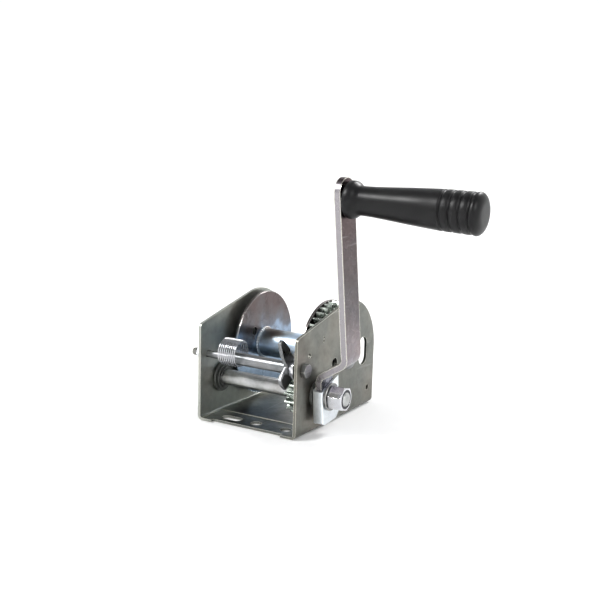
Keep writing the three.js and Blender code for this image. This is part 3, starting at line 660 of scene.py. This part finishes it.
def grip_profile():
    """Bulb, neck, taper, ribs and round end, as (distance, radius) in mm, then back along the bore."""
    outside = [
        (0.0, 10.0),
        (0.0, 13.4),
        (0.25, 14.3),
        (0.9, 14.95),
        (1.9, 15.25),
        (3.6, 15.3),
        (5.2, 15.2),
        (6.4, 14.8),
        (7.6, 14.1),
        (8.8, 13.2),
        (10.2, 12.25),
        (11.6, 11.85),
        (13.5, 11.75),
        (18.0, 11.85),
        (23.5, 12.1),
        (33.0, 12.75),
        (42.7, 13.5),
        (52.0, 14.2),
        (62.0, 14.88),
        (70.0, 15.4),
        (76.0, 15.75),
        (80.0, 15.95),
    ]
    first, pitch, half, groove = 82.0, 7.8, 1.4, 1.15
    for i in range(4):
        at, radius = first + i * pitch, 16.0 + 0.1 * i
        for step in range(-4, 5):
            share = step / 4
            dip = groove * 0.5 * (1 + math.cos(math.pi * share))
            outside.append((at + half * share, radius - dip))
        outside.append((at + pitch / 2, radius + 0.15))
    round_start, end_radius = GRIP_LENGTH - 5.5, 16.7
    outside.pop()
    for step in range(9):
        turn = step * math.pi / 2 / 8
        outside.append((round_start + 5.5 * math.sin(turn), end_radius - 9.2 * (1 - math.cos(turn))))
    outside.append((GRIP_LENGTH, 0.0))
    bore = [(98.0, 0.0), (98.0, 5.3), (1.8, 5.3), (1.8, 10.0), (0.0, 10.0)]
    return [(GRIP_START + x, r) for x, r in bore + outside[1:]]


grip = turned("grip_moulding", grip_profile(), at_grip, GRIP_PLASTIC, 96)
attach(grip, "grip")
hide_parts("grip")

# ---------------------------------------------------------------- pawl spring


def coil_tree():
    """Geometry Nodes: a round wire wound along +X."""
    tree = bpy.data.node_groups.new("wound_wire", "GeometryNodeTree")
    face = tree.interface
    face.new_socket("Geometry", in_out="OUTPUT", socket_type="NodeSocketGeometry")
    for label in ("Turns", "Radius", "Length", "Wire radius"):
        face.new_socket(label, in_out="INPUT", socket_type="NodeSocketFloat")
    face.new_socket("Material", in_out="INPUT", socket_type="NodeSocketMaterial")
    given = tree.nodes.new("NodeGroupInput")
    out = tree.nodes.new("NodeGroupOutput")
    spiral = tree.nodes.new("GeometryNodeCurveSpiral")
    spiral.inputs["Resolution"].default_value = 40
    ring = tree.nodes.new("GeometryNodeCurvePrimitiveCircle")
    ring.inputs["Resolution"].default_value = 10
    sweep = tree.nodes.new("GeometryNodeCurveToMesh")
    sweep.inputs["Fill Caps"].default_value = True
    lay = tree.nodes.new("GeometryNodeTransform")
    lay.inputs["Rotation"].default_value = (0.0, math.pi / 2, 0.0)
    soften = tree.nodes.new("GeometryNodeSetShadeSmooth")
    real = tree.nodes.new("GeometryNodeRealizeInstances")
    paint = tree.nodes.new("GeometryNodeSetMaterial")
    join = tree.links.new
    join(given.outputs["Turns"], spiral.inputs["Rotations"])
    join(given.outputs["Radius"], spiral.inputs["Start Radius"])
    join(given.outputs["Radius"], spiral.inputs["End Radius"])
    join(given.outputs["Length"], spiral.inputs["Height"])
    join(given.outputs["Wire radius"], ring.inputs["Radius"])
    join(spiral.outputs["Curve"], sweep.inputs["Curve"])
    join(ring.outputs["Curve"], sweep.inputs["Profile Curve"])
    join(sweep.outputs["Mesh"], lay.inputs["Geometry"])
    join(lay.outputs["Geometry"], soften.inputs["Geometry"])
    join(soften.outputs["Geometry"], real.inputs["Geometry"])
    join(real.outputs["Geometry"], paint.inputs["Geometry"])
    join(given.outputs["Material"], paint.inputs["Material"])
    join(paint.outputs["Geometry"], out.inputs["Geometry"])
    return tree


def made_by_nodes(name, tree, settings, place):
    """The tree's result as a plain mesh, laid in place."""
    host = bpy.data.objects.new(name + "_host", bpy.data.meshes.new(name + "_host"))
    bpy.context.scene.collection.objects.link(host)
    modifier = host.modifiers.new("nodes", "NODES")
    modifier.node_group = tree
    for item in tree.interface.items_tree:
        if item.in_out == "INPUT" and item.name in settings:
            modifier[item.identifier] = settings[item.name]
    seen = host.evaluated_get(bpy.context.evaluated_depsgraph_get())
    mesh = bpy.data.meshes.new_from_object(seen)
    mesh.name = name
    mesh.transform(place)
    bpy.data.objects.remove(host)
    piece = bpy.data.objects.new(name, mesh)
    bpy.context.scene.collection.objects.link(piece)
    return piece


low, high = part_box("pawl_spring")
spring_length = (high.x - low.x) - SPRING_WIRE * MM
spring_place = Matrix.Translation(
    (low.x + SPRING_WIRE * MM / 2, (low.y + high.y) / 2, (low.z + high.z) / 2)
)
spring = made_by_nodes(
    "pawl_coil_spring",
    coil_tree(),
    {
        "Turns": SPRING_TURNS,
        "Radius": (high.y - low.y) / 2 - SPRING_WIRE / 2 * MM,
        "Length": spring_length,
        "Wire radius": SPRING_WIRE / 2 * MM,
        "Material": BRIGHT_ZINC,
    },
    spring_place,
)
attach(spring, "frame")
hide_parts("pawl_spring")

# ---------------------------------------------------------------- floor, lights, camera


def studio_bowl():
    """A pale floor that curves up into a wall all round, so that no horizon shows."""
    flat, bend, top, segments, steps = 1.7, 1.5, 3.6, 96, 16
    profile = [(0.0, 0.0), (flat, 0.0)]
    for step in range(1, steps + 1):
        turn = step * math.pi / 2 / steps
        profile.append((flat + bend * math.sin(turn), bend * (1 - math.cos(turn))))
    profile.append((flat + bend, top))
    bm = bmesh.new()
    rings = []
    for radius, height in profile:
        around = 1 if radius == 0.0 else segments
        rings.append(
            [
                bm.verts.new(
                    (
                        radius * math.cos(2 * math.pi * i / segments),
                        radius * math.sin(2 * math.pi * i / segments),
                        height - FLOOR_DROP,
                    )
                )
                for i in range(around)
            ]
        )
    for one, two in zip(rings, rings[1:]):
        for i in range(segments):
            j = (i + 1) % segments
            corners = [one[i % len(one)], two[i], two[j], one[j % len(one)]]
            bm.faces.new(list(dict.fromkeys(corners)))
    mesh = bpy.data.meshes.new("studio_bowl")
    bm.to_mesh(mesh)
    bm.free()
    mesh.materials.append(pale_floor("pale_floor"))
    smooth(mesh, 60.0)
    bowl = bpy.data.objects.new("studio_bowl", mesh)
    bpy.context.scene.collection.objects.link(bowl)


def studio():
    studio_bowl()
    world = bpy.data.worlds.new("studio")
    bpy.context.scene.world = world
    world.use_nodes = True
    back = world.node_tree.nodes["Background"]
    back.inputs["Color"].default_value = (0.97, 0.98, 1.0, 1.0)
    back.inputs["Strength"].default_value = 0.35
    for name, place, power, width in (
        ("key", (-1.4, -1.6, 2.0), 54.0, 0.7),
        ("fill", (2.0, -0.9, 1.5), 18.0, 0.5),
        ("back", (0.3, 1.9, 1.9), 42.0, 0.8),
    ):
        light = bpy.data.lights.new(name, "AREA")
        light.energy = power
        light.size = width
        lamp = bpy.data.objects.new(name, light)
        lamp.location = place
        aim = Vector((0.03, 0.0, 0.09)) - Vector(place)
        lamp.rotation_euler = aim.to_track_quat("-Z", "Y").to_euler()
        bpy.context.scene.collection.objects.link(lamp)


def camera():
    """A lens of 61.3 mm on a 36 mm sensor, 30.4 degrees round to the crank side and 11.1 up."""
    azimuth, elevation, roll = (math.radians(v) for v in (30.44, 11.12, 1.62))
    forward = Vector(
        (
            -math.sin(azimuth) * math.cos(elevation),
            math.cos(azimuth) * math.cos(elevation),
            -math.sin(elevation),
        )
    )
    right = forward.cross(Vector((0, 0, 1))).normalized()
    up = right.cross(forward)
    side = right * math.cos(roll) + up * math.sin(roll)
    head = up * math.cos(roll) - right * math.sin(roll)
    data = bpy.data.cameras.new("camera")
    data.sensor_width = 36.0
    data.lens = 61.3
    data.clip_start = 0.05
    data.clip_end = 20.0
    eye = bpy.data.objects.new("camera", data)
    turn = Matrix((side, head, -forward)).transposed().to_4x4()
    eye.matrix_world = Matrix.Translation((0.4623, -0.7704, 0.2793)) @ turn
    bpy.context.scene.collection.objects.link(eye)
    bpy.context.scene.camera = eye


studio()
camera()
bpy.context.scene.view_settings.view_transform = "Standard"
